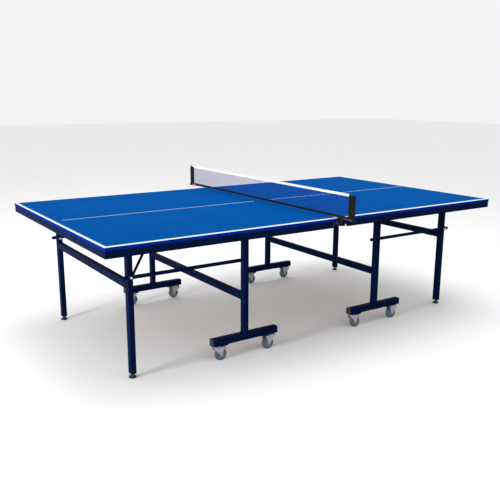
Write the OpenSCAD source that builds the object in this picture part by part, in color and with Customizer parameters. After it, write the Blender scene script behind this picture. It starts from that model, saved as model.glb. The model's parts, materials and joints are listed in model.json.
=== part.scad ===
// Table tennis table in two rolling halves that fold upright, with a clamp-on net.
// The origin is on the floor under the middle of the net. X runs along the table,
// Y across it and Z up. Both halves are one design, turned half a turn about Z.

/* [Playing surface] */
// Length of the whole table
table_length = 2740; // [2600:10:2800]
// Width of the table
table_width = 1525; // [1480:5:1560]
// Height of the playing surface above the floor
table_height = 760; // [750:1:780]
// Thickness of the board
board_t = 18; // [16:1:20]
// Gap between the two halves when they stand together
halves_gap = 3; // [3:0.5:8]

/* [Steel frame] */
// Height of the frame under the board
frame_h = 38; // [34:1:40]
// How far the frame stands back from the board's edge
frame_inset = 2; // [1:1:10]
// Width of the frame's flanges and cross rails
rail_w = 30; // [24:1:36]
// Wall thickness of the frame
frame_wall = 2; // [1.5:0.5:3]
// Free space beside the net for its clamps, on the half that carries the net
clamp_space = 60; // [50:5:90]

/* [Legs] */
// Distance of the inner legs from the net
inner_leg_x = 500; // [470:5:530]
// Distance of the outer legs from the net
outer_leg_x = 1165; // [1140:5:1180]
// Distance of the inner legs from the table's long axis
inner_leg_y = 594; // [580:1:620]
// Size of a leg tube along the table
leg_w = 30; // [26:1:32]
// Size of a leg tube across the table
leg_d = 40; // [34:1:40]
// Wall thickness of the leg tubes
leg_wall = 2; // [1.5:0.5:3]
// Height of the fold pivots above the floor
pivot_z = 684; // [680:1:685]
// Height of the link bars above the floor
link_z = 545; // [535:1:560]
// Height of the middle of the outer cross tube
outer_cross_z = 500; // [480:1:505]
// Height of the middle of the inner cross tube
inner_cross_z = 340; // [300:5:380]

/* [Rolling feet] */
// Length of the bar across the foot of an inner leg
foot_bar_l = 430; // [410:5:460]
// Side of that bar's square tube
foot_bar_w = 40; // [36:1:40]
// Height of the bar's underside above the floor
foot_bar_z = 90; // [90:1:96]
// Diameter of a castor wheel
wheel_d = 70; // [66:1:70]
// Width of a castor wheel
wheel_w = 22; // [20:1:24]
// Distance that a wheel trails behind its swivel
trail = 25; // [20:1:27]

/* [Net] */
// Height of the net above the playing surface
net_h = 152.5; // [150:0.5:155]
// Distance between the net posts
net_span = 1830; // [1810:5:1850]
// Width of the white tape along the top of the net
tape_w = 14; // [10:1:15]

/* [Hidden] */
$fn = 48;
HALVES = ["left", "right"];
// each castor's name, its end of the foot bar (1 is nearer the net) and its side (1 is far)
CASTORS = [["near_outer", -1, -1], ["near_inner", 1, -1], ["far_outer", -1, 1], ["far_inner", 1, 1]];
HALF_PARTS = ["board", "top_frame", "top_fittings", "inner_legs", "inner_crossbar",
    "bar_caps", "base_bolts", "outer_legs", "outer_crossbar", "leg_bolts", "link_bars",
    "stays", "leg_plugs", "near_foot", "far_foot"];

gap = 0.3;              // clearance between pieces that move past each other
pin_gap = 0.05;         // radial clearance of a bolt in its hole
weld_gap = 0.2;         // joint line between tubes that are welded together
edge = 1.2;             // bevel along the board's edges
board_l = (table_length - halves_gap) / 2;
board_z = table_height - board_t;
frame_z = board_z - frame_h;
outer_end = -table_length / 2;
frame_y = table_width / 2 - frame_inset;
frame_end = outer_end + frame_inset;
flange = 18;
rail_wall = 1.5;
inner_rail_x = -80;
runner_w = 20;

bolt_r = 4;
hole_r = bolt_r + pin_gap;
head_r = 6.5;
head_t = 5;
link_t = 5;
link_h = 20;
stay_t = 3;
stay_h = 14;
link_past_outer = 40;   // how far a link bar runs on past its bolt on the outer leg
link_past_inner = 32;   // and past its bolt on the inner leg
stay_reach = 85;        // how far inward of its leg a stay meets the frame
stay_rise = 149.5;        // how far a stay climbs from its leg to the frame
stay_l = norm([stay_reach, stay_rise]);
bracket_t = 3;
bracket_r = 15;
leg_top = pivot_z + 10;

// layers across the table, from the inner leg's inside face towards the middle
inner_in = inner_leg_y - leg_d / 2;
inner_out = inner_leg_y + leg_d / 2;
link_y = inner_in - 4.5;
outer_leg_y = link_y - link_t / 2 - 2 - leg_d / 2;
outer_in = outer_leg_y - leg_d / 2;
outer_out = outer_leg_y + leg_d / 2;
stay_y = link_y + 8;
guide_w = 8;
guide_h = frame_z - pivot_z - 9;
guide_start = -outer_leg_x + 62;
guide_l = 275;

bar_top = foot_bar_z + foot_bar_w;
cross_h = 40;
foot_h = 12;
leg_foot_z = 28;
foot_r = 20;
stud_r = 4;

swivel_x = foot_bar_l / 2 - 30;
wheel_r = wheel_d / 2;
crown_z = foot_bar_z - 10;
stem_r = 5.5;
fork_gap = wheel_w / 2 + 3;
fork_t = 2.5;
axle_r = 4;
pedal_x = trail + 15;
pedal_z = crown_z - 6;
pedal_pin_r = 2;
pedal_hub_r = 4.5;

post_y = net_span / 2;
post_r = 4.5;
net_top = table_height + net_h;
net_low = table_height + 6;
cloth_t = 2;
sleeve_w = 46;
foot_block = 16;        // side of the square block at the foot of a post
clamp_x = 32;
clamp_w = 26;
clamp_t = 3;
jaw_reach = 50;
jaw_y = table_width / 2 + 10;
screw_y = table_width / 2 - 22;
screw_r = 3;
jaw_z = board_z - 18;
knob_r = 18;

navy = "midnightblue";

module on_half(h) rotate([0, 0, h == "right" ? 180 : 0]) children();
module near_and_far() {
    children();
    mirror([0, 1, 0]) children();
}
// a plate whose edge follows a 2-D outline in the XZ plane, from y to y + t
module plate(y, t) translate([0, y + t, 0]) rotate([90, 0, 0]) linear_extrude(t) children();
// a round bar or bore along Y, from y to y + l
module round_y(x, y, z, r, l) translate([x, y, z]) rotate([-90, 0, 0]) cylinder(r = r, h = l);
module hex_y(x, y, z, r, l) translate([x, y, z]) rotate([-90, 0, 0]) cylinder(r = r, h = l, $fn = 6);
module tube_outline(w, d, t, r = 3) {
    difference() {
        round_rect(w, d, r);
        round_rect(w - 2 * t, d - 2 * t, r - t / 2);
    }
}
module round_rect(w, d, r) {
    square([w - 2 * r, d], center = true);
    square([w, d - 2 * r], center = true);
    for (x = [-1, 1], y = [-1, 1]) translate([x * (w / 2 - r), y * (d / 2 - r)]) circle(r);
}
module bevel_rect(w, d, c) {
    polygon([[-w / 2 + c, -d / 2], [w / 2 - c, -d / 2], [w / 2, -d / 2 + c], [w / 2, d / 2 - c],
        [w / 2 - c, d / 2], [-w / 2 + c, d / 2], [-w / 2, d / 2 - c], [-w / 2, -d / 2 + c]]);
}
// a box with beveled edges, placed by its lowest corner
module beveled_box(size, c) {
    translate(size / 2) intersection() {
        linear_extrude(size.z, center = true) bevel_rect(size.x, size.y, c);
        rotate([90, 0, 0]) linear_extrude(size.y, center = true) bevel_rect(size.x, size.z, c);
        rotate([90, 0, 90]) linear_extrude(size.x, center = true) bevel_rect(size.y, size.z, c);
    }
}
module tube_z(x, y, z, h, w, d, t) translate([x, y, z]) linear_extrude(h) tube_outline(w, d, t);
// a square tube along Y, centred on x, z, from -l / 2 to l / 2
module tube_y(x, z, l, w, h, t)
    translate([x, l / 2, z]) rotate([90, 0, 0]) linear_extrude(l) tube_outline(w, h, t);
module tube_x(x, y, z, l, w, h, t)
    translate([x - l / 2, y, z]) rotate([90, 0, 90]) linear_extrude(l) tube_outline(w, h, t);

module board() color("royalblue")
    translate([outer_end, -table_width / 2, board_z]) beveled_box([board_l, table_width, board_t], edge);

// a channel along +X, open towards +Y, with its web on y = 0
module channel(l, h, w, t) difference() {
    cube([l, w, h]);
    translate([-1, t, t]) cube([l + 2, w, h - 2 * t]);
}
// a rail across the frame, open towards the board
module cross_rail(x, l) difference() {
    translate([x - rail_w / 2, -l / 2, frame_z]) cube([rail_w, l, frame_h]);
    translate([x - rail_w / 2 + rail_wall, -l / 2 - 1, frame_z + rail_wall])
        cube([rail_w - 2 * rail_wall, l + 2, frame_h]);
}
module runner(y) difference() {
    x0 = -outer_leg_x + rail_w / 2 + weld_gap;
    x1 = -inner_leg_x - rail_w / 2 - weld_gap;
    translate([x0, y - runner_w / 2, frame_z]) cube([x1 - x0, runner_w, frame_h]);
    translate([x0 - 1, y - runner_w / 2 + rail_wall, frame_z + rail_wall])
        cube([x1 - x0 + 2, runner_w - 2 * rail_wall, frame_h]);
}
// a wedge that mitres a corner of the frame; the plan triangle lies on one side of the diagonal
module mitre(side) translate([frame_end, -frame_y, frame_z - 1]) linear_extrude(frame_h + 2)
    polygon([[-1, -1], [flange + 1, flange + 1], side ? [-1, flange + 1] : [flange + 1, -1]]);
// a side channel that stops short of the net by cut at the top and by cut + slant below
module side_channel(cut, slant) difference() {
    translate([frame_end, -frame_y, frame_z]) channel(-frame_end, frame_h, flange, frame_wall);
    mitre(true);
    plate(-frame_y - 1, flange + 2) polygon([[-cut, board_z + 1], [-cut, board_z],
        [-cut - slant, frame_z], [-cut - slant, frame_z - 1], [1, frame_z - 1], [1, board_z + 1]]);
}
module end_channel() difference() {
    translate([frame_end, frame_y, frame_z]) rotate([0, 0, -90])
        channel(2 * frame_y, frame_h, flange, frame_wall);
    near_and_far() translate([-weld_gap, 0, 0]) mitre(false);
}
module top_frame(cut, slant) color(navy) {
    near_and_far() side_channel(cut, slant);
    end_channel();
    for (x = [-outer_leg_x, -inner_leg_x, inner_rail_x])
        cross_rail(x, 2 * (frame_y - flange - weld_gap));
    near_and_far() runner(stay_y);
}

module bracket(x, y) plate(y, bracket_t) difference() {
    union() {
        translate([x, pivot_z]) circle(bracket_r);
        translate([x - bracket_r, pivot_z]) square([2 * bracket_r, frame_z - pivot_z - gap / 10]);
    }
    translate([x, pivot_z]) circle(hole_r);
}
// two strips under a runner, with the slot between them that a stay's end slides in
module stay_guide() for (y = [stay_y - guide_w / 2, stay_y + guide_w / 2 - rail_wall])
    translate([guide_start, y, frame_z - guide_h]) cube([guide_l, rail_wall, guide_h - weld_gap]);
module top_fittings() color(navy) near_and_far() {
    bracket(-outer_leg_x, outer_out + gap);
    bracket(-outer_leg_x, outer_in - gap - bracket_t);
    bracket(-inner_leg_x, inner_out + gap);
    stay_guide();
}

module inner_legs() color(navy) near_and_far() {
    difference() {
        tube_z(-inner_leg_x, inner_leg_y, bar_top + weld_gap, leg_top - bar_top - weld_gap,
            leg_w, leg_d, leg_wall);
        round_y(-inner_leg_x, inner_leg_y, pivot_z, hole_r, leg_d);
        round_y(-inner_leg_x, inner_in - 1, link_z, hole_r, leg_d / 2);
    }
    difference() {
        tube_x(-inner_leg_x, inner_leg_y, bar_top - foot_bar_w / 2, foot_bar_l, foot_bar_w, foot_bar_w,
            leg_wall);
        for (s = [-1, 1]) translate([-inner_leg_x + s * swivel_x, inner_leg_y, foot_bar_z - 1])
            cylinder(r = stem_r + pin_gap, h = foot_bar_w / 2);
    }
}
module inner_crossbar() color(navy)
    tube_y(-inner_leg_x, inner_cross_z, 2 * inner_in - weld_gap, leg_w, cross_h, leg_wall);

module bar_caps() color("black") near_and_far() for (s = [-1, 1])
    translate([-inner_leg_x + s * (foot_bar_l / 2 + 2), inner_leg_y, bar_top - foot_bar_w / 2])
    rotate([0, -90 * s, 0]) {
        linear_extrude(2 - weld_gap / 2) round_rect(foot_bar_w, foot_bar_w, 3);
        linear_extrude(14) round_rect(foot_bar_w - 2 * leg_wall - 0.4, foot_bar_w - 2 * leg_wall - 0.4, 2);
    }

// a round-headed bolt along Y: head from y to y + head_t on the side that d points to
module bolt(x, y, z, l, d = 1) {
    translate([x, y, z]) rotate([-90 * d, 0, 0]) {
        cylinder(r1 = head_r, r2 = head_r - 1.5, h = head_t);
        translate([0, 0, -l]) cylinder(r = bolt_r, h = l + 1);
    }
}
module base_bolts() color("silver") near_and_far() {
    bolt(-inner_leg_x, inner_out + bracket_t + 2 * gap, pivot_z, 12);
    bolt(-inner_leg_x, link_y - link_t / 2 - gap, link_z, 20, -1);
}

module outer_legs() color(navy) near_and_far() difference() {
    tube_z(-outer_leg_x, outer_leg_y, leg_foot_z, leg_top - leg_foot_z, leg_w, leg_d, leg_wall);
    for (z = [pivot_z, link_z]) round_y(-outer_leg_x, outer_in - 1, z, hole_r, leg_d + 2);
}
module outer_crossbar() color(navy)
    tube_y(-outer_leg_x, outer_cross_z, 2 * outer_in - weld_gap, leg_w, cross_h, leg_wall);

module washer_y(x, y, z, l) difference() {
    round_y(x, y, z, 8, l);
    round_y(x, y - 1, z, hole_r, l + 2);
}
module leg_bolts() color("silver") near_and_far() {
    plate_in = outer_in - gap - bracket_t;
    bolt(-outer_leg_x, outer_out + bracket_t + 2 * gap, pivot_z, leg_d + 2 * bracket_t + 8);
    hex_y(-outer_leg_x, plate_in - gap - head_t, pivot_z, 7.5, head_t);
    bolt(-outer_leg_x, stay_y + stay_t / 2 + gap, link_z, stay_y + stay_t / 2 - outer_in + 5);
    hex_y(-outer_leg_x, outer_in - gap - head_t, link_z, 7.5, head_t);
    washer_y(-outer_leg_x, outer_out + gap, link_z, link_y - link_t / 2 - outer_out - 2 * gap);
    washer_y(-outer_leg_x, link_y + link_t / 2 + gap, link_z,
        stay_y - stay_t / 2 - link_y - link_t / 2 - 2 * gap);
}

module link_outline() difference() {
    link_x0 = -outer_leg_x - link_past_outer + link_h / 2;
    link_x1 = -inner_leg_x + link_past_inner - link_h / 2;
    union() {
        translate([link_x0, link_z - link_h / 2]) square([link_x1 - link_x0, link_h]);
        for (x = [link_x0, link_x1]) translate([x, link_z]) circle(link_h / 2);
    }
    translate([-inner_leg_x, link_z]) circle(hole_r);
    translate([-outer_leg_x, link_z]) circle(hole_r + gap);
}
module link_bars() color(navy) near_and_far() plate(link_y - link_t / 2, link_t) link_outline();

module stay_outline() difference() {
    union() {
        translate([0, -stay_h / 2]) square([stay_l, stay_h]);
        for (x = [0, stay_l]) translate([x, 0]) circle(stay_h / 2);
    }
    circle(hole_r);
}
module stays() color("black") near_and_far() plate(stay_y - stay_t / 2, stay_t)
    translate([-outer_leg_x, link_z]) rotate(atan2(stay_rise, stay_reach)) stay_outline();

module leg_plugs() color("black") near_and_far() translate([-outer_leg_x, outer_leg_y, 0]) difference() {
    union() {
        translate([0, 0, leg_foot_z - 4]) linear_extrude(4 - weld_gap) round_rect(leg_w, leg_d, 3);
        translate([0, 0, leg_foot_z - 1])
            linear_extrude(26) round_rect(leg_w - 2 * leg_wall - 0.4, leg_d - 2 * leg_wall - 0.4, 2);
    }
    translate([0, 0, leg_foot_z - 5]) cylinder(r = stud_r + pin_gap, h = 40);
}
module levelling_foot() color("black") translate([-outer_leg_x, outer_leg_y, 0]) {
    rotate_extrude() polygon([[0, 0], [foot_r - 1, 0], [foot_r, 1], [foot_r, 6], [foot_r - 4, foot_h - 2],
        [10, foot_h - 1], [9, foot_h + 3], [stud_r, foot_h + 3], [stud_r, 60], [0, 60]]);
    translate([0, 0, foot_h + 2]) cylinder(r = 7.5, h = 5, $fn = 6);
}

// places a castor's piece, with the wheel trailing towards the leg
module at_castor(h, c) mirror([h == "right" ? 1 : 0, 0, 0])
    translate([-inner_leg_x + c[1] * swivel_x, c[2] * inner_leg_y, 0])
    rotate([0, 0, c[1] > 0 ? 180 : 0]) children();
module fork_outline() difference() {
    union() {
        polygon([[-20, crown_z], [-21, crown_z - 8], [trail - 7, wheel_r], [trail + 7, wheel_r],
            [trail + 11, crown_z - 20], [pedal_x + 5, pedal_z - 3], [pedal_x + 5, crown_z]]);
        translate([trail, wheel_r]) circle(7.5);
    }
    translate([pedal_x, pedal_z]) circle(pedal_pin_r + pin_gap);
}
module fork() color("silver") {
    for (y = [fork_gap, -fork_gap - fork_t]) plate(y, fork_t) fork_outline();
    translate([-20, -fork_gap - 1, crown_z - fork_t]) cube([42, 2 * fork_gap + 2, fork_t]);
    rotate_extrude() polygon([[0, crown_z - fork_t], [19, crown_z - fork_t], [19, crown_z],
        [21, crown_z + 1], [21, crown_z + 4], [17, crown_z + 6], [stem_r + 2, crown_z + 6],
        [stem_r + 2, foot_bar_z - 0.5], [stem_r, foot_bar_z - 0.5], [stem_r, foot_bar_z + 16],
        [0, foot_bar_z + 16]]);
    round_y(trail, -fork_gap - fork_t - 3, wheel_r, axle_r, 2 * (fork_gap + fork_t + 3));
    for (y = [fork_gap + fork_t, -fork_gap - fork_t - 4]) hex_y(trail, y, wheel_r, 6.5, 4);
}
module wheel() color("dimgray") translate([trail, 0, wheel_r]) rotate([-90, 0, 0]) rotate_extrude($fn = 96)
    polygon([[axle_r + pin_gap, -wheel_w / 2 - 1], [9, -wheel_w / 2 - 1], [9, -5], [22, -5], [22, -9.5],
        [24, -9.5], [25, -wheel_w / 2], [wheel_r - 4, -wheel_w / 2], [wheel_r - 1.2, -wheel_w / 2 + 2.5],
        [wheel_r - 0.2, -wheel_w / 4], [wheel_r, 0], [wheel_r - 0.2, wheel_w / 4],
        [wheel_r - 1.2, wheel_w / 2 - 2.5], [wheel_r - 4, wheel_w / 2], [25, wheel_w / 2], [24, 9.5],
        [22, 9.5], [22, 5], [9, 5], [9, wheel_w / 2 + 1], [axle_r + pin_gap, wheel_w / 2 + 1]]);
module pedal() color("dimgray") translate([pedal_x, 0, pedal_z]) {
    round_y(0, -fork_gap - fork_t, 0, pedal_pin_r, 2 * (fork_gap + fork_t));
    plate(-wheel_w / 2, wheel_w) {
        circle(pedal_hub_r);
        rotate(12) translate([0, 1]) square([33, 3]);
        rotate(-22) translate([0, -3]) square([20, 2.5]);
    }
}

// everything of the net set is drawn at the near side; d = 1 turns it to the far side
module net_side(d) mirror([0, d, 0]) children();
module net_post() color("black") {
    translate([0, -post_y, table_height + 2]) cylinder(r = post_r, h = net_h - 3);
    translate([0, -post_y, net_top - 1]) cylinder(r1 = post_r, r2 = post_r - 1.5, h = 1);
    translate([-foot_block / 2, -post_y - foot_block / 2, table_height + 2])
        cube([foot_block, foot_block, 14]);
    // flat arm from the post to the clamp
    translate([0, -post_y, table_height + 2]) linear_extrude(clamp_t) polygon([
        [-foot_block / 2, -foot_block / 2], [foot_block / 2, -foot_block / 2],
        [clamp_x + clamp_w / 2, post_y - jaw_y - clamp_t], [clamp_x + clamp_w / 2, post_y - jaw_y],
        [clamp_x - clamp_w / 2, post_y - jaw_y], [-foot_block / 2, foot_block / 2]]);
    translate([clamp_x - clamp_w / 2, -jaw_y - clamp_t, table_height + gap])
        cube([clamp_w, jaw_reach, clamp_t + 1.7]);
    translate([clamp_x - clamp_w / 2, -jaw_y - clamp_t, jaw_z])
        cube([clamp_w, clamp_t, table_height + gap + clamp_t - jaw_z]);
    difference() {
        translate([clamp_x - clamp_w / 2, -jaw_y - clamp_t, jaw_z]) cube([clamp_w, jaw_reach, clamp_t]);
        translate([clamp_x, -screw_y, jaw_z - 1]) cylinder(r = screw_r + pin_gap, h = clamp_t + 2);
    }
}
module clamp_screw() color("gray") translate([clamp_x, -screw_y, 0]) {
    translate([0, 0, jaw_z - 8]) cylinder(r = screw_r, h = board_z - jaw_z + 4);
    translate([0, 0, board_z - 4.5]) cylinder(r = 8, h = 4);
    translate([0, 0, jaw_z - 12]) rotate_extrude() polygon([[0, 0], [knob_r - 1, 0], [knob_r, 1],
        [knob_r, 5], [knob_r - 2, 6], [7, 7], [6, 11], [0, 11]]);
}
module net() color("blue") translate([-cloth_t / 2, -post_y + foot_block / 2 + gap, net_low])
    cube([cloth_t, 2 * post_y - foot_block - 2 * gap, net_top - tape_w - gap - net_low]);
module net_tape() color("white") translate([-cloth_t, -post_y + sleeve_w, net_top - tape_w])
    beveled_box([2 * cloth_t, 2 * (post_y - sleeve_w), tape_w - 1], 0.6);

for (h = HALVES) {
    on_half(h) board();
    on_half(h) top_frame(h == "right" ? clamp_space : 10, h == "right" ? frame_h : 0);
    on_half(h) top_fittings();
    on_half(h) inner_legs();
    on_half(h) inner_crossbar();
    on_half(h) bar_caps();
    on_half(h) base_bolts();
    on_half(h) outer_legs();
    on_half(h) outer_crossbar();
    on_half(h) leg_bolts();
    on_half(h) link_bars();
    on_half(h) stays();
    on_half(h) leg_plugs();
    on_half(h) mirror([0, h == "right" ? 0 : 1, 0]) levelling_foot();
    on_half(h) mirror([0, h == "right" ? 1 : 0, 0]) levelling_foot();
    for (c = CASTORS) {
        at_castor(h, c) fork();
        at_castor(h, c) wheel();
        at_castor(h, c) pedal();
    }
}
net_side(0) net_post();  // near_net_post
net_side(1) net_post();  // far_net_post
net_side(0) clamp_screw();  // near_clamp_screw
net_side(1) clamp_screw();  // far_clamp_screw
net();
net_tape();
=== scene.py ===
"""The looks of a folding table tennis table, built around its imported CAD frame."""

import json
import math

import bmesh
import bpy
import numpy as np
from mathutils import Matrix, Vector


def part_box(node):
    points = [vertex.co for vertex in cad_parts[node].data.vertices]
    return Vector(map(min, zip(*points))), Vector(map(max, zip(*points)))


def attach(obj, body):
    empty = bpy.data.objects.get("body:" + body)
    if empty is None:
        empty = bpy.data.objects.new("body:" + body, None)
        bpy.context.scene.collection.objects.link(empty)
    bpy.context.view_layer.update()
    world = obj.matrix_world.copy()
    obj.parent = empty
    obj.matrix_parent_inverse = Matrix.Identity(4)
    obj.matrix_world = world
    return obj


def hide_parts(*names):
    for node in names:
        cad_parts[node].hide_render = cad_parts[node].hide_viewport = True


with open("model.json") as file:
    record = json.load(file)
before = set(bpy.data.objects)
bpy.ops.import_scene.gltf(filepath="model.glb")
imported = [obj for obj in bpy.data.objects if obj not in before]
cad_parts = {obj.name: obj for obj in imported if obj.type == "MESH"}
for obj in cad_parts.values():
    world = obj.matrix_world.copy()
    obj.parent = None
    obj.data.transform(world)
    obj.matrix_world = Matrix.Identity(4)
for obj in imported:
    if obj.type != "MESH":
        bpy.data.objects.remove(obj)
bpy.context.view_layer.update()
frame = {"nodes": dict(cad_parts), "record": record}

HALVES = ("left", "right")
CASTORS = ("near_outer", "near_inner", "far_outer", "far_inner")
SIDES = {"near": -1, "far": 1}
LEG_TUBE = (0.030, 0.040)

BOARD_LOW, BOARD_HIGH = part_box("left_board")
TOP_Z = BOARD_HIGH.z
HALF_WIDTH = BOARD_HIGH.y
HALF_LENGTH = -BOARD_LOW.x
FOOT_BLOCK = 0.016
POST_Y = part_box("far_net_post")[1].y - FOOT_BLOCK / 2
TAPE_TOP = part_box("net_tape")[1].z
TAPE_END = -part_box("net_tape")[0].y


def linear(r, g, b):
    """A colour given as 0-255 screen values, in Blender's linear values."""

    def one(v):
        v /= 255
        return v / 12.92 if v <= 0.04045 else ((v + 0.055) / 1.055) ** 2.4

    return (one(r), one(g), one(b), 1.0)


# ---------------------------------------------------------------- materials

EDGE_BLUR = 0.0003


def tinted(colour, factor):
    return tuple(c * factor for c in colour[:3]) + (1.0,)


class Look:
    """A material under construction: short names for the nodes that every look here uses."""

    def __init__(self, name, colour, roughness=0.5, metallic=0.0, **sockets):
        self.mat = bpy.data.materials.new(name)
        self.mat.use_nodes = True
        self.mat.diffuse_color = colour
        self.tree = self.mat.node_tree
        self.bsdf = self.tree.nodes["Principled BSDF"]
        self.set("Base Color", colour)
        self.set("Roughness", roughness)
        self.set("Metallic", metallic)
        for socket, value in sockets.items():
            self.set(socket.replace("_", " "), value)
        self.place = self.node("ShaderNodeTexCoord").outputs["Object"]

    def set(self, socket, value):
        self.bsdf.inputs[socket].default_value = value

    def node(self, kind, **settings):
        n = self.tree.nodes.new(kind)
        for key, value in settings.items():
            setattr(n, key, value)
        return n

    def link(self, source, target):
        self.tree.links.new(source, target)

    def wire(self, value, target):
        """Puts a number, colour or another node's output on a node's input."""
        if isinstance(value, bpy.types.NodeSocket):
            self.link(value, target)
        else:
            target.default_value = value

    def stretched(self, scale):
        """The object's coordinates, scaled apart along each axis."""
        n = self.node("ShaderNodeMapping")
        n.inputs["Scale"].default_value = scale
        self.link(self.place, n.inputs["Vector"])
        return n.outputs["Vector"]

    def noise(self, scale, detail=3.0, roughness=0.55, place=None):
        n = self.node("ShaderNodeTexNoise")
        n.inputs["Scale"].default_value = scale
        n.inputs["Detail"].default_value = detail
        n.inputs["Roughness"].default_value = roughness
        self.link(place or self.place, n.inputs["Vector"])
        return n.outputs["Fac"]

    def math(self, operation, a, b=0.0):
        n = self.node("ShaderNodeMath", operation=operation)
        self.wire(a, n.inputs[0])
        self.wire(b, n.inputs[1])
        return n.outputs[0]

    def between(self, value, low, high, out_low=0.0, out_high=1.0):
        """Ramps from out_low to out_high while value goes from low to high."""
        n = self.node("ShaderNodeMapRange")
        self.wire(value, n.inputs["Value"])
        ends = {"From Min": low, "From Max": high, "To Min": out_low, "To Max": out_high}
        for key, v in ends.items():
            n.inputs[key].default_value = v
        return n.outputs["Result"]

    def edge(self, value, at, rising=True):
        """A crisp edge between two colours where value passes `at`, softened just enough to render."""
        before, after = (0.0, 1.0) if rising else (1.0, 0.0)
        return self.between(value, at - EDGE_BLUR, at + EDGE_BLUR, before, after)

    def mix(self, factor, a, b):
        n = self.node("ShaderNodeMix", data_type="RGBA")
        self.wire(factor, n.inputs["Factor"])
        self.wire(a, n.inputs[6])
        self.wire(b, n.inputs[7])
        return n.outputs[2]

    def mottled(self, noise, colour, dark, light, low=0.3, high=0.7):
        """The colour, drifting between two tints of itself as the noise does."""
        return self.mix(self.between(noise, low, high), tinted(colour, dark), tinted(colour, light))

    def xyz(self, source=None):
        n = self.node("ShaderNodeSeparateXYZ")
        self.link(source or self.place, n.inputs[0])
        return n.outputs

    def facing(self):
        """The surface's own direction in the piece's rest frame, as x, y and z."""
        coord = self.node("ShaderNodeTexCoord")
        return self.xyz(coord.outputs["Normal"])

    def paint(self, colour):
        self.link(colour, self.bsdf.inputs["Base Color"])

    def rough(self, value):
        self.link(value, self.bsdf.inputs["Roughness"])

    def bump(self, height, distance, strength):
        n = self.node("ShaderNodeBump")
        n.inputs["Distance"].default_value = distance
        n.inputs["Strength"].default_value = strength
        self.link(height, n.inputs["Height"])
        self.link(n.outputs["Normal"], self.bsdf.inputs["Normal"])


def board_lines(look):
    """Where the white lines are. The centre line stops short of the left end and of the net."""
    side_line, end_line, half_centre_line = 0.022, 0.015, 0.0029
    gap_at_end, gap_before_net, gap_past_net = 0.055, 0.040, 0.088
    x, y, _ = look.xyz()
    across, along = look.math("ABSOLUTE", y), look.math("ABSOLUTE", x)
    side = look.edge(across, HALF_WIDTH - side_line)
    end = look.edge(along, HALF_LENGTH - end_line)
    middle = look.edge(across, half_centre_line, rising=False)
    left_start = look.edge(x, gap_at_end - HALF_LENGTH)
    left_end = look.edge(x, -gap_before_net, rising=False)
    on_left = look.math("MULTIPLY", left_start, left_end)
    on_right = look.math("GREATER_THAN", x, gap_past_net)
    centre = look.math("MULTIPLY", middle, look.math("MAXIMUM", on_left, on_right))
    return look.math("MAXIMUM", look.math("MAXIMUM", side, end), centre)


def board_look():
    """Blue roller-coated board: fine satin stipple, white lines, darker edges, bare underside."""
    blue, band = linear(0, 75, 147), linear(0, 35, 124)
    white, bare = linear(222, 224, 226), linear(122, 98, 72)
    look = Look("board_blue", blue, 0.6, Specular_IOR_Level=0.001)
    cloud, worn = look.noise(2.2, 4.0), look.noise(34.0, 5.0, 0.6)
    chips, smudge = look.noise(900.0, 2.0), look.noise(7.0, 4.0)
    paint = look.mottled(cloud, blue, 0.95, 1.06)
    chalk = look.mottled(worn, white, 1.0, 0.9, 0.35, 0.75)
    top = look.mix(board_lines(look), paint, chalk)
    edge = look.mottled(worn, band, 0.88, 1.12)
    under = look.mottled(chips, bare, 0.78, 1.15, 0.35, 0.65)
    up = look.facing()[2]
    top_and_edge = look.mix(look.between(up, 0.45, 0.5), edge, top)
    faces_down = look.between(up, -0.9, -0.85, 1.0, 0.0)
    look.paint(look.mix(faces_down, top_and_edge, under))
    look.rough(look.between(smudge, 0.3, 0.72, 0.52, 0.66))
    look.bump(look.noise(1400.0, 2.0), 0.00025, 0.35)
    return look.mat


def coat_look(name, colour, roughness):
    """Powder coat: an orange-peel skin, a little cloudy, with faint scuffs."""
    look = Look(name, colour, roughness, Specular_IOR_Level=0.006)
    cloud, scuff = look.noise(9.0, 4.0), look.noise(60.0, 6.0, 0.7)
    scuffed = look.between(scuff, 0.66, 0.8, 0.0, 0.35)
    look.paint(look.mix(scuffed, look.mottled(cloud, colour, 0.85, 1.2), tinted(colour, 2.0)))
    look.rough(look.between(scuff, 0.3, 0.75, roughness - 0.08, roughness + 0.14))
    look.bump(look.noise(900.0, 2.0), 0.0002, 0.5)
    return look.mat


def clamp_look():
    """The net's bracket: black coated, with a bare grey clamp on the board's edge."""
    black, grey, blur = linear(15, 13, 13), linear(120, 120, 122), 0.0005
    look = Look("clamp_steel", black, 0.45, Specular_IOR_Level=0.12)
    from_middle = look.math("ABSOLUTE", look.xyz()[1])
    worn = look.noise(120.0, 4.0)
    bare, dark = look.mottled(worn, grey, 0.8, 1.1), look.mottled(worn, black, 0.8, 1.5)
    on_board = look.between(from_middle, HALF_WIDTH - blur, HALF_WIDTH + blur, 1.0, 0.0)
    look.paint(look.mix(on_board, dark, bare))
    look.rough(look.between(worn, 0.3, 0.75, 0.35, 0.55))
    look.bump(look.noise(1100.0, 2.0), 0.0002, 0.5)
    return look.mat


def knob_look():
    """A black moulded knob on a grey screw."""
    black, grey = linear(20, 20, 22), linear(150, 150, 154)
    knob_height, blur = 0.0112, 0.0002
    knob_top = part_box("near_clamp_screw")[0].z + knob_height
    look = Look("clamp_knob", black, 0.45, Specular_IOR_Level=0.3)
    worn = look.noise(160.0, 4.0)
    dark, bare = look.mottled(worn, black, 0.8, 1.4), look.mottled(worn, grey, 0.75, 1.1)
    look.paint(look.mix(look.between(look.xyz()[2], knob_top - blur, knob_top + blur), dark, bare))
    look.rough(look.between(worn, 0.3, 0.75, 0.35, 0.55))
    look.bump(look.noise(1500.0, 2.0), 0.00018, 0.6)
    return look.mat


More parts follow.
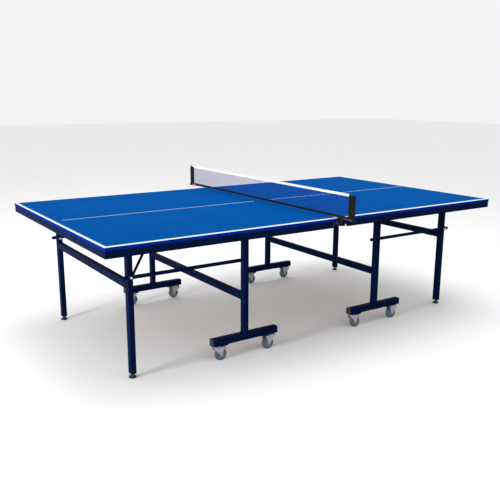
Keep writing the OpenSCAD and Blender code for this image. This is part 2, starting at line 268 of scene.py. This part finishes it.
def zinc_look(name, colour, roughness=0.3, grain=70.0):
    """Zinc plate: bright, with the soft cloudiness and fine rolling marks of pressed steel."""
    look = Look(name, colour, roughness, metallic=0.85)
    cloud = look.noise(grain, 5.0, 0.65)
    streak = look.noise(300.0, 3.0, 0.5, look.stretched((1.0, 1.0, 9.0)))
    look.paint(look.mottled(cloud, colour, 0.78, 1.1))
    look.rough(look.between(cloud, 0.25, 0.75, roughness - 0.08, roughness + 0.16))
    look.bump(streak, 0.00012, 0.4)
    return look.mat


def plastic_look(name, colour, roughness=0.5):
    """Moulded plastic with a spark-eroded grain."""
    look = Look(name, colour, roughness)
    look.paint(look.mottled(look.noise(40.0, 4.0), colour, 0.8, 1.3))
    look.rough(look.between(look.noise(120.0, 4.0), 0.3, 0.7, roughness - 0.1, roughness + 0.12))
    look.bump(look.noise(1600.0, 2.0), 0.00018, 0.6)
    return look.mat


def weave_look(name, colour, pitch, roughness=0.85, depth=0.0004, sheen=0.1):
    """Woven tape or cloth: two crossed sets of threads, `pitch` metres apart, with painted shade in the
    weave's dips and a soft sheen.
    """
    look = Look(name, colour, roughness, Sheen_Weight=sheen, Sheen_Roughness=0.5,
                Specular_IOR_Level=0.15)
    x, y, z = look.xyz()
    turn = 2 * math.pi / pitch
    warp = look.math("SINE", look.math("MULTIPLY", look.math("ADD", x, y), turn))
    weft = look.math("SINE", look.math("MULTIPLY", z, turn))
    height = look.between(look.math("MULTIPLY", warp, weft), -1.0, 1.0)
    # painted shade and highlight: the threads are darkened where the weave's height dips and lightened
    # a little on its crests
    threads_with_painted_shade = look.mix(height, tinted(colour, 0.72), tinted(colour, 1.05))
    fuzz = look.between(look.noise(500.0, 4.0), 0.35, 0.7, 0.0, 0.35)
    look.paint(look.mix(fuzz, threads_with_painted_shade, tinted(colour, 0.8)))
    look.bump(height, depth, 0.8)
    return look.mat


def rubber_look():
    """The tyre: dark grey-green moulded rubber, dusty where it rolls."""
    colour, dust = linear(46, 74, 78), linear(104, 112, 110)
    look = Look("tyre_rubber", colour, 0.62)
    patch = look.noise(55.0, 5.0, 0.65)
    look.paint(look.mix(look.between(patch, 0.5, 0.8, 0.0, 0.5), colour, dust))
    look.rough(look.between(patch, 0.3, 0.75, 0.5, 0.8))
    look.bump(look.noise(900.0, 3.0), 0.0003, 0.5)
    return look.mat


def floor_look():
    """A plain pale floor with hardly any cloudiness."""
    colour = linear(246, 246, 247)
    look = Look("floor_pale", colour, 0.75)
    look.paint(look.mottled(look.noise(1.5, 3.0), colour, 0.985, 1.0))
    return look.mat


NAVY = linear(4, 17, 48)
BLACK = linear(14, 14, 16)
LOOKS = {
    "board": board_look(),
    "frame": coat_look("navy_powder_coat", NAVY, 0.36),
    "black_steel": coat_look("black_powder_coat", BLACK, 0.42),
    "black_plastic": plastic_look("black_plastic", BLACK),
    "zinc": zinc_look("bright_zinc", linear(205, 206, 210)),
    "castor_zinc": zinc_look("castor_zinc", linear(176, 178, 190), roughness=0.36, grain=90.0),
    "tyre": rubber_look(),
    "hub": plastic_look("hub_grey", linear(112, 114, 124), 0.45),
    "pedal_steel": coat_look("pedal_coat", linear(64, 65, 76), 0.42),
    "clamp_knob": knob_look(),
    "clamp_steel": clamp_look(),
    "net_blue": weave_look("net_cord_blue", linear(4, 44, 140), pitch=0.0012, roughness=0.8,
                           depth=0.0002, sheen=0.03),
    "net_white": weave_look("net_tape_white", linear(240, 240, 240), pitch=0.0014),
    "net_black": weave_look("net_sleeve_black", linear(15, 13, 12), pitch=0.0014, sheen=0.01),
}


def dress_cad_parts():
    """Every CAD part gets the look of its slot, except that the net posts get their own."""
    for spec in frame["record"]["subparts"]:
        look = "clamp_steel" if "net_post" in spec["node"] else spec["material_slot"]
        materials = frame["nodes"][spec["node"]].data.materials
        materials.clear()
        materials.append(LOOKS[look])


# ---------------------------------------------------------------- mesh helpers


def mesh_of(name, points, faces):
    mesh = bpy.data.meshes.new(name)
    mesh.from_pydata([tuple(p) for p in points], [], [tuple(f) for f in faces])
    mesh.validate()
    mesh.update()
    return mesh


def outward(mesh):
    """The same mesh with every face turned to look out."""
    b = bmesh.new()
    b.from_mesh(mesh)
    bmesh.ops.recalc_face_normals(b, faces=b.faces)
    b.to_mesh(mesh)
    b.free()
    return mesh


def piece(name, solid, look, body, smooth=True):
    """A new object of those points and faces, with that look, riding on a CAD body."""
    mesh = outward(mesh_of(name, *solid))
    obj = bpy.data.objects.new(name, mesh)
    bpy.context.scene.collection.objects.link(obj)
    mesh.materials.append(LOOKS[look])
    for face in mesh.polygons:
        face.use_smooth = smooth
    if smooth:
        mesh.set_sharp_from_angle(angle=math.radians(38))
    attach(obj, body)
    return obj


def ring_faces(first, second, n):
    """The faces between two closed rings of n points that start at those numbers."""
    return [(first + k, first + (k + 1) % n, second + (k + 1) % n, second + k) for k in range(n)]


def lathe(profile, centre, segments):
    """Points and faces of a ring about Y: profile is [(radius, y)] going round the section."""
    points, faces = [], []
    n = len(profile)
    for s in range(segments):
        a = 2 * math.pi * s / segments
        points += [Vector(centre) + Vector((r * math.cos(a), y, r * math.sin(a))) for r, y in profile]
        faces += ring_faces(s * n, (s + 1) % segments * n, n)
    return points, faces


def join(parts):
    """Several (points, faces) as one."""
    points, faces = [], []
    for p, f in parts:
        start = len(points)
        points += list(p)
        faces += [tuple(start + i for i in face) for face in f]
    return points, faces


def bar(low, high):
    """A plain eight-cornered block, for small things such as a stitch."""
    xs, ys, zs = zip(low, high)
    points = [(x, y, z) for x in xs for y in ys for z in zs]
    faces = [(0, 1, 3, 2), (4, 6, 7, 5), (0, 4, 5, 1), (2, 3, 7, 6), (0, 2, 6, 4), (1, 5, 7, 3)]
    return points, faces


def swept_along_y(section, end_y, step, wobble):
    """A closed XZ section drawn out from -end_y to end_y, with a slow wobble like taut cloth."""
    count = round(2 * end_y / step)
    points, faces, n = [], [], len(section)
    for i in range(count + 1):
        y = -end_y + 2 * end_y * i / count
        lift = wobble * (math.sin(y * 31) + 0.6 * math.sin(y * 83 + 1))
        points += [(x * (1 + 0.06 * math.sin(y * 140)), y, z + lift) for x, z in section]
        if i:
            faces += ring_faces((i - 1) * n, i * n, n)
    return points, faces + [tuple(range(n))[::-1], tuple(count * n + k for k in range(n))]


# ---------------------------------------------------------------- camera, light and floor


def make_camera():
    """The camera stands beyond the near left corner, above the table's height."""
    azimuth, elevation, roll = math.radians(-33.85), math.radians(13.18), math.radians(0.26)
    eye = Vector((-2.427, -3.519, 1.427))
    back = Vector((math.sin(azimuth) * math.cos(elevation),
                   -math.cos(azimuth) * math.cos(elevation), math.sin(elevation)))
    right = Vector((math.cos(azimuth), math.sin(azimuth), 0))
    up = back.cross(right)
    tilted_right = right * math.cos(roll) + up * math.sin(roll)
    tilted_up = up * math.cos(roll) - right * math.sin(roll)
    data = bpy.data.cameras.new("camera")
    data.sensor_width = 36
    data.lens = 47.16
    camera = bpy.data.objects.new("camera", data)
    turn = Matrix((tilted_right, tilted_up, back)).transposed()
    camera.matrix_world = Matrix.Translation(eye) @ turn.to_4x4()
    bpy.context.scene.collection.objects.link(camera)
    bpy.context.scene.camera = camera


def area_light(name, at, aim, size, power):
    """A round soft light that hangs at one point and faces another."""
    data = bpy.data.lights.new(name, "AREA")
    data.energy = power
    data.shape = "DISK"
    data.size = size
    light = bpy.data.objects.new(name, data)
    facing = (Vector(aim) - Vector(at)).to_track_quat("-Z", "Y")
    light.matrix_world = Matrix.Translation(at) @ facing.to_matrix().to_4x4()
    bpy.context.scene.collection.objects.link(light)


def make_stage():
    """A bright even surround, two soft lights and a wide floor."""
    world = bpy.data.worlds.new("studio")
    world.use_nodes = True
    surround = world.node_tree.nodes["Background"].inputs
    surround["Color"].default_value = (1.0, 1.0, 1.0, 1.0)
    surround["Strength"].default_value = 0.9
    bpy.context.scene.world = world
    bpy.context.scene.view_settings.view_transform = "Standard"
    area_light("key_left", at=(-6.0, -1.2, 1.15), aim=(0, 0, 0.45), size=1.8, power=300)
    area_light("soft_top", at=(0.5, 0.5, 4.5), aim=(0, 0, 0.7), size=4.0, power=90)
    reach = 30.0
    corners = [(-reach, -reach, 0), (reach, -reach, 0), (reach, reach, 0), (-reach, reach, 0)]
    mesh = mesh_of("floor", corners, [(0, 1, 2, 3)])
    mesh.materials.append(floor_look())
    floor = bpy.data.objects.new("floor", mesh)
    bpy.context.scene.collection.objects.link(floor)


# ---------------------------------------------------------------- castors


def tyre_section(radius):
    """A crowned tread with two fine grooves, on rounded shoulders."""
    half_width, half_tread, shoulder, inner = 0.011, 0.0088, 0.0104, 0.0245
    crown, groove, steps, grooves = 0.0012, 0.0009, 12, (4, 8)
    tread = []
    for i in range(steps + 1):
        t = i / steps
        depth = crown * (2 * t - 1) ** 4 + (groove if i in grooves else 0.0)
        tread.append((radius - depth, half_tread * (2 * t - 1)))
    side = [(inner, 0.0098), (radius - 0.0050, half_width), (radius - 0.0022, shoulder)]
    return [(r, -y) for r, y in side] + tread + side[::-1]


def hub_section():
    """The dished hub: one half from the rim in to the bore, then its mirror image."""
    half = [(0.0249, 0.0094), (0.0236, 0.0104), (0.0222, 0.0098), (0.0215, 0.0062), (0.0120, 0.0048),
            (0.0100, 0.0058), (0.0092, 0.0117), (0.0058, 0.0117), (0.0052, 0.0108), (0.0045, 0.0108)]
    return half + [(r, -y) for r, y in reversed(half)]


def hub_ribs(centre):
    """Six ribs on each face of the hub's dish."""
    ribs, half_thick = 6, 0.0011
    corners = ((0.0095, 0.0040), (0.0095, 0.0092), (0.0222, 0.0086), (0.0222, 0.0040))
    faces = [(0, 1, 3, 2), (2, 3, 5, 4), (4, 5, 7, 6), (0, 2, 4, 6), (1, 7, 5, 3), (0, 6, 7, 1)]
    parts = []
    for k in range(ribs):
        a = 2 * math.pi * (k + 0.5) / ribs
        out = Vector((math.cos(a), 0, math.sin(a)))
        across = Vector((-math.sin(a), 0, math.cos(a))) * half_thick
        for face in (-1, 1):
            points = [centre + out * d + across * side + Vector((0, face * y, 0))
                      for d, y in corners for side in (-1, 1)]
            parts.append((points, faces))
    return parts


def make_wheel(node):
    """A moulded wheel: a tyre on a dished, ribbed hub."""
    low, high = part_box(node)
    centre, radius = (low + high) / 2, (high.z - low.z) / 2
    tyre = piece(f"{node}_tyre", lathe(tyre_section(radius), centre, 96), "tyre", node)
    hub_parts = [lathe(hub_section(), centre, 72)] + hub_ribs(centre)
    hub = piece(f"{node}_hub", join(hub_parts), "hub", node)
    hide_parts(node)
    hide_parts(node)


# ---------------------------------------------------------------- net

NET_BODY = "right_top"
# heights: the open mesh between hem and tape, and the sleeves at the ends
MESH_LOW, TAPE_LOW = TOP_Z + 0.0180, TAPE_TOP - 0.0132
SLEEVE_LOW, SLEEVE_TOP = TOP_Z + 0.0125, TAPE_TOP - 0.0065


def strand(start, end, radius, sides=4):
    """A thin straight cord between two points."""
    start, end = Vector(start), Vector(end)
    along = (end - start).normalized()
    side = along.cross(Vector((1, 0, 0))).normalized()
    up = side.cross(along)
    turns = [2 * math.pi * (k + 0.5) / sides for k in range(sides)]
    points = [p + radius * (math.cos(a) * side + math.sin(a) * up) for p in (start, end) for a in turns]
    ends = [tuple(range(sides))[::-1], tuple(sides + k for k in range(sides))]
    return points, ring_faces(0, sides, sides) + ends


def knot(at, size):
    """Where two cords of the net are tied: a small eight-sided bead."""
    tips = ((1, 0, 0), (-1, 0, 0), (0, 1, 0), (0, -1, 0), (0, 0, 1), (0, 0, -1))
    points = [Vector(at) + Vector(tip) * size for tip in tips]
    return points, [(a, b, c) for a in (0, 1) for b in (2, 3) for c in (4, 5)]


def make_mesh():
    """The knotted mesh between the sleeves: upright and level cords, with a knot at each crossing."""
    pitch, radius, knot_size, into_tape = 0.010, 0.0008, 0.0017, 0.001
    width, height = 2 * TAPE_END, TAPE_LOW + into_tape - MESH_LOW
    columns, rows = round(width / pitch), round(height / pitch)
    ys = [-TAPE_END + width * i / columns for i in range(1, columns)]
    zs = [MESH_LOW + height * k / rows for k in range(1, rows)]
    parts = [strand((0, y, MESH_LOW), (0, y, MESH_LOW + height), radius) for y in ys]
    parts += [strand((0, -TAPE_END, z), (0, TAPE_END, z), radius) for z in zs]
    parts += [knot((0, y, z), knot_size) for y in ys for z in zs]
    return piece("net_mesh", join(parts), "net_blue", NET_BODY, smooth=False)


def make_tape():
    """The white band folded over the top of the net, with a row of stitches on each face."""
    r = 0.0017
    face = [(r, TAPE_LOW), (r * 1.05, TAPE_LOW + 0.004), (r * 0.9, TAPE_TOP - 0.0025)]
    turns = np.linspace(0.3, math.pi - 0.3, 6)
    fold = [(r * math.cos(a), TAPE_TOP - r + r * math.sin(a)) for a in turns]
    section = face + fold + [(-x, z) for x, z in reversed(face)]
    band = swept_along_y(section, TAPE_END, step=0.012, wobble=0.00015)
    tape = piece("net_top_tape", band, "net_white", NET_BODY)
    pitch, length, thick, stand_off = 0.007, 0.0042, 0.0005, 0.0016
    stitch_low, stitch_high = TAPE_LOW + 0.0028, TAPE_LOW + 0.0036
    stitches = []
    for k in range(round(2 * TAPE_END / pitch)):
        y = -TAPE_END + 0.003 + pitch * k
        for x in (-stand_off - thick, stand_off):
            stitches.append(bar((x, y, stitch_low), (x + thick, y + length, stitch_high)))
    thread = piece("net_tape_stitches", join(stitches), "net_white", NET_BODY, smooth=False)
    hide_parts("net_tape")
    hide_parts("net_tape")
    return [tape, thread]


def make_hem():
    """The black hem along the bottom of the net, flat; the tension cord inside it is not drawn."""
    half_height, half_thick, middle = 0.0065, 0.00182, MESH_LOW - 0.001
    turns = np.linspace(0, 2 * math.pi, 13)[:-1]
    section = [(half_thick * math.cos(a), middle + half_height * math.sin(a)) for a in turns]
    band = swept_along_y(section, TAPE_END, step=0.015, wobble=0.0002)
    hem = piece("net_bottom_hem", band, "net_black", NET_BODY)
    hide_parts("net")
    return hem


def make_sleeve(name, side):
    """The black cloth pocket round a post: a loop of cloth that closes into a flat double hem."""
    bore_r, thick, half_flat, wrap = 0.0052, 0.0011, 0.0016, 0.78 * math.pi
    post_y, inward = side * POST_Y, -side

    def loop(r):
        turns = np.linspace(-wrap, wrap, 25)
        return [(r * math.sin(a), post_y + side * r * math.cos(a)) for a in turns]

    reach = POST_Y - TAPE_END - 0.0006
    flat = [(half_flat, post_y + inward * d) for d in (0.011, 0.018, 0.030, 0.040, reach)]
    outline = loop(bore_r + thick) + flat + [(-x, y) for x, y in flat[::-1]]
    shares = (0, 0.008, 0.02, 0.15, 0.3, 0.45, 0.6, 0.75, 0.88, 0.975, 0.99, 1)
    hems = (1, 10)
    points, faces, n = [], [], len(outline)
    for i, share in enumerate(shares):
        z = SLEEVE_LOW + (SLEEVE_TOP - SLEEVE_LOW) * share
        swell = 1.16 if i in hems else 1.0
        points += [(x * swell * (1 + 0.05 * math.sin(70 * z + 40 * y)), y, z) for x, y in outline]
        if i:
            faces += ring_faces((i - 1) * n, i * n, n)
    # the post passes through the pocket: its inside wall and the rims at top and bottom
    bore = loop(bore_r)
    m, start = len(bore), len(points)
    points += [(x, y, z) for z in (SLEEVE_LOW, SLEEVE_TOP) for x, y in bore]
    faces += ring_faces(start, start + m, m)
    for base, ring in ((0, start), ((len(shares) - 1) * n, start + m)):
        faces += [(base + k, base + k + 1, ring + k + 1, ring + k) for k in range(m - 1)]
        faces.append((base + m - 1, *(base + m + k for k in range(n - m)), base, ring, ring + m - 1))
    sleeve = piece(f"{name}_net_sleeve", (points, faces), "net_black", NET_BODY)
    thread = make_sleeve_stitches(name, post_y, inward)
    for p in (sleeve, thread):
        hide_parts("net")
    return [sleeve, thread]


def make_sleeve_stitches(name, post_y, inward):
    """Two upright rows of stitches on each face of a sleeve's flat part."""
    pitch, length, half_width, thick, margin = 0.006, 0.0036, 0.0004, 0.0006, 0.008
    stitches = []
    for d in (0.0135, 0.0425):
        y = post_y + inward * d
        for k in range(round((SLEEVE_TOP - SLEEVE_LOW - margin) / pitch)):
            z = SLEEVE_LOW + 0.005 + pitch * k
            for x in (-0.0021, 0.0015):
                stitches.append(bar((x, y - half_width, z), (x + thick, y + half_width, z + length)))
    return piece(f"{name}_sleeve_stitches", join(stitches), "net_black", NET_BODY, smooth=False)


def make_net():
    """The mesh is the sheet; the tape, hem, sleeves and their stitches go with it."""
    mesh = make_mesh()
    trim = make_tape()
    trim.append(make_hem())
    for name, side in SIDES.items():
        trim += make_sleeve(name, side)
    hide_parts("net")


# ---------------------------------------------------------------- welds


def weld(name, centre, size, axis, body):
    """A rippled bead round the end of a rectangular tube: size is across and up, axis the tube's."""
    half_u, half_v = size[0] / 2, size[1] / 2
    bead, steps, sides = 0.003, 14, 6
    corners = [Vector((u * half_u, v * half_v)) for u, v in ((1, 1), (-1, 1), (-1, -1), (1, -1))]
    path = [corners[k].lerp(corners[(k + 1) % 4], i / steps) for k in range(4) for i in range(steps)]
    points, faces = [], []
    for i, (u, v) in enumerate(path):
        swell = bead * (0.72 + 0.2 * abs(math.sin(i * 1.35)) + 0.06 * math.sin(i * 0.7))
        away = Vector((u / half_u, v / half_v)).normalized()
        for k in range(sides):
            a = 2 * math.pi * k / sides
            out, along = swell * 0.55 * math.cos(a), swell * math.sin(a)
            out_u, out_v = u + away.x * out, v + away.y * out
            local = (out_u, along, out_v) if axis == "Y" else (out_u, out_v, along)
            points.append(Vector(centre) + Vector(local))
        faces += ring_faces(i * sides, (i + 1) % len(path) * sides, sides)
    piece(name, (points, faces), "frame", body)


def make_welds(half):
    """Beads where the cross tubes meet the legs, and where the inner legs meet their foot bars."""
    for part, body in (("inner_crossbar", "base"), ("outer_crossbar", "outer")):
        low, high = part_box(f"{half}_{part}")
        centre, size = (low + high) / 2, high - low
        for name, side in SIDES.items():
            at = (centre.x, side * high.y, centre.z)
            weld(f"{half}_{part}_{name}_weld", at, (size.x, size.z), "Y", f"{half}_{body}")
    low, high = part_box(f"{half}_inner_legs")
    caps_low, caps_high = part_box(f"{half}_bar_caps")
    bar_width = caps_high.z - caps_low.z
    leg_x, leg_y = (low.x + high.x) / 2, high.y - bar_width / 2
    for name, side in SIDES.items():
        at = (leg_x, side * leg_y, caps_high.z)
        weld(f"{half}_foot_bar_{name}_weld", at, LEG_TUBE, "Z", f"{half}_base")


dress_cad_parts()
make_camera()
make_stage()
for half in HALVES:
    for castor in CASTORS:
        make_wheel(f"{half}_{castor}_wheel")
    make_welds(half)
make_net()
